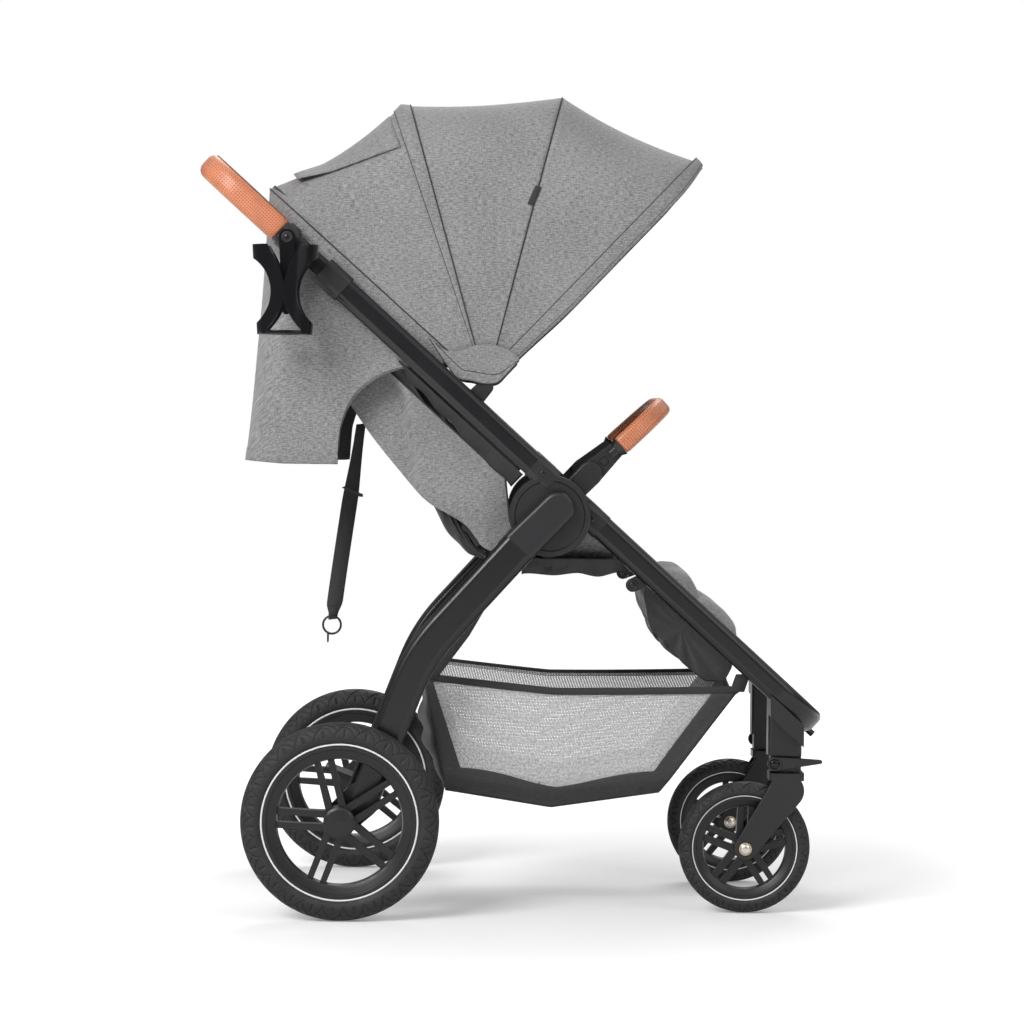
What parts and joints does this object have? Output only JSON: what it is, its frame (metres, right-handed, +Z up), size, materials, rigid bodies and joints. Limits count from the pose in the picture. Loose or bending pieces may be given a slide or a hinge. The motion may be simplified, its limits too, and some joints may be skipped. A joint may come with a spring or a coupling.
{
  "type": "folding pushchair",
  "caption": "Folding pushchair with reclining seat, arched canopy, bumper bar, mesh basket, large rear wheels and swivelling front wheels with locks.",
  "frame": {"origin": "on the ground under the middle of the bounding box", "axes": "+X forward, +Y to the left, +Z up"},
  "size_m": [0.9339, 0.614, 1.215],
  "materials": {
    "frame_black": "satin powder coat",
    "hinge_black": "fine grained",
    "leather_tan": "perforated, semi-matt",
    "cloth_grey": "melange weave",
    "cloth_black": "woven",
    "mesh_grey": "open mesh",
    "board_black": "plain",
    "bow_black": "plain",
    "tyre_black": "matt rubber",
    "wheel_black": "satin gloss",
    "cup_black": "glossy",
    "ring_black": "satin"
  },
  "bodies": {
    "front_frame": {"front_frame": "frame_black", "lower_hinges": "hinge_black", "front_housings": "hinge_black", "seat_frame": "frame_black", "seat_board": "board_black", "seat_cushion": "cloth_grey", "harness_buckle": "board_black", "bumper_mounts": "hinge_black", "basket": "mesh_grey", "basket_rim": "cloth_black", "calf_brackets": "hinge_black"},
    "handle_frame": {"upper_tubes": "frame_black", "upper_hinges": "hinge_black", "height_locks": "hinge_black", "canopy_clips": "hinge_black", "side_panels": "cloth_grey", "bow_back": "bow_black", "canopy_back": "cloth_grey", "rear_drape": "cloth_grey"},
    "push_handle": {"handle_tube": "frame_black", "handle_grip": "leather_tan", "grip_joints": "hinge_black", "cup_clamp": "hinge_black"},
    "cup_holder": {"cup_holder": "cup_black"},
    "backrest": {"back_board": "board_black", "back_pad": "cloth_grey", "seat_shell": "cloth_grey", "shoulder_straps": "cloth_black", "recline_strap": "cloth_black", "strap_fittings": "ring_black"},
    "calf_rest": {"calf_board": "cloth_black", "calf_pad": "cloth_grey"},
    "rear_frame": {"rear_legs": "frame_black", "leg_bosses": "hinge_black", "rear_axle": "hinge_black"},
    "brake_pedal": {"brake_pedal": "hinge_black"},
    "canopy_rear_bow": {"bow_rear": "bow_black"},
    "canopy_mid_bow": {"bow_mid": "bow_black", "canopy_mid": "cloth_grey"},
    "canopy_front_bow": {"bow_front": "bow_black", "canopy_front": "cloth_grey"},
    "bumper": {"bumper_bar": "hinge_black", "bumper_grip": "leather_tan"},
    "bumper_button_left": {"bumper_button_left": "hinge_black"},
    "rear_wheel_left": {"rear_tyre_left": "tyre_black", "rear_rim_left": "wheel_black", "rear_hub_cap_left": "wheel_black"},
    "fork_left": {"fork_left": "hinge_black"},
    "front_wheel_left": {"front_tyre_left": "tyre_black", "front_rim_left": "wheel_black"},
    "swivel_lever_left": {"swivel_lever_left": "hinge_black"},
    "bumper_button_right": {"bumper_button_right": "hinge_black"},
    "rear_wheel_right": {"rear_tyre_right": "tyre_black", "rear_rim_right": "wheel_black", "rear_hub_cap_right": "wheel_black"},
    "fork_right": {"fork_right": "hinge_black"},
    "front_wheel_right": {"front_tyre_right": "tyre_black", "front_rim_right": "wheel_black"},
    "swivel_lever_right": {"swivel_lever_right": "hinge_black"}
  },
  "joints": [
    {"name": "fold", "type": "hinge", "parent": "front_frame", "child": "handle_frame", "pos_m": [0.0555, 0, 0.591], "axis": [0, 1, 0], "range_deg": [0, 135]},
    {"name": "rear_fold", "type": "hinge", "parent": "front_frame", "child": "rear_frame", "pos_m": [0.0555, 0, 0.591], "axis": [0, 1, 0], "range_deg": [-50, 0]},
    {"name": "bumper_swing", "type": "hinge", "parent": "front_frame", "child": "bumper", "pos_m": [0.1153, 0, 0.6526], "axis": [0, 1, 0], "range_deg": [0, 92]},
    {"name": "canopy_rear", "type": "hinge", "parent": "handle_frame", "child": "canopy_rear_bow", "pos_m": [-0.04053, 0, 0.78155], "axis": [0, 1, 0], "range_deg": [-24.5, 0], "deforming": ["canopy_back"]},
    {"name": "canopy_mid", "type": "hinge", "parent": "canopy_rear_bow", "child": "canopy_mid_bow", "pos_m": [-0.04053, 0, 0.78155], "axis": [0, 1, 0], "range_deg": [-26.7, 0], "deforming": ["canopy_mid"]},
    {"name": "canopy_front", "type": "hinge", "parent": "canopy_mid_bow", "child": "canopy_front_bow", "pos_m": [-0.04053, 0, 0.78155], "axis": [0, 1, 0], "range_deg": [-24.3, 0], "deforming": ["canopy_front"]},
    {"name": "handle_height", "type": "slide", "parent": "handle_frame", "child": "push_handle", "axis": [-0.742, 0, 0.6704], "range_m": [-0.045, 0.045]},
    {"name": "cup_tilt", "type": "hinge", "parent": "push_handle", "child": "cup_holder", "pos_m": [-0.33312, -0.235, 0.99471], "axis": [0, 1, 0], "range_deg": [-30, 30]},
    {"name": "recline", "type": "hinge", "parent": "handle_frame", "child": "backrest", "pos_m": [-0.0095, 0, 0.545], "axis": [0, 1, 0], "range_deg": [-35, 0], "deforming": ["rear_drape"]},
    {"name": "calf_lift", "type": "hinge", "parent": "front_frame", "child": "calf_rest", "pos_m": [0.17992, 0, 0.48855], "axis": [0, 1, 0], "range_deg": [-30, 0]},
    {"name": "brake", "type": "hinge", "parent": "rear_frame", "child": "brake_pedal", "pos_m": [-0.21591, 0, 0.17314], "axis": [0, 1, 0], "range_deg": [-18, 0]},
    {"name": "caster_left", "type": "hinge", "parent": "front_frame", "child": "fork_left", "pos_m": [0.41, 0.159, 0.2135], "axis": [0, 0, 1], "continuous": true},
    {"name": "front_spin_left", "type": "hinge", "parent": "fork_left", "child": "front_wheel_left", "pos_m": [0.3525, 0.159, 0.098], "axis": [0, 1, 0], "continuous": true},
    {"name": "rear_spin_left", "type": "hinge", "parent": "rear_frame", "child": "rear_wheel_left", "pos_m": [-0.246, 0.28, 0.145], "axis": [0, 1, 0], "continuous": true},
    {"name": "swivel_lock_left", "type": "hinge", "parent": "front_frame", "child": "swivel_lever_left", "pos_m": [0.394, 0.184, 0.2255], "axis": [0, 1, 0], "range_deg": [-14, 0]},
    {"name": "bumper_release_left", "type": "slide", "parent": "bumper", "child": "bumper_button_left", "axis": [0, -1, 0], "range_m": [0, 0.003], "stiffness_N_per_m": 300},
    {"name": "caster_right", "type": "hinge", "parent": "front_frame", "child": "fork_right", "pos_m": [0.41, -0.159, 0.2135], "axis": [0, 0, 1], "continuous": true},
    {"name": "front_spin_right", "type": "hinge", "parent": "fork_right", "child": "front_wheel_right", "pos_m": [0.3525, -0.159, 0.098], "axis": [0, 1, 0], "continuous": true},
    {"name": "rear_spin_right", "type": "hinge", "parent": "rear_frame", "child": "rear_wheel_right", "pos_m": [-0.246, -0.28, 0.145], "axis": [0, 1, 0], "continuous": true},
    {"name": "swivel_lock_right", "type": "hinge", "parent": "front_frame", "child": "swivel_lever_right", "pos_m": [0.394, -0.184, 0.2255], "axis": [0, 1, 0], "range_deg": [-14, 0]},
    {"name": "bumper_release_right", "type": "slide", "parent": "bumper", "child": "bumper_button_right", "axis": [0, 1, 0], "range_m": [0, 0.003], "stiffness_N_per_m": 300}
  ],
  "couplings": [
    {"joint": "rear_fold", "follows": "fold", "ratio": -0.37037},
    {"joint": "bumper_swing", "follows": "fold", "ratio": 0.68148},
    {"joint": "canopy_rear", "follows": "fold", "ratio": -0.18148},
    {"joint": "canopy_mid", "follows": "fold", "ratio": -0.19778},
    {"joint": "canopy_front", "follows": "fold", "ratio": -0.18}
  ]
}
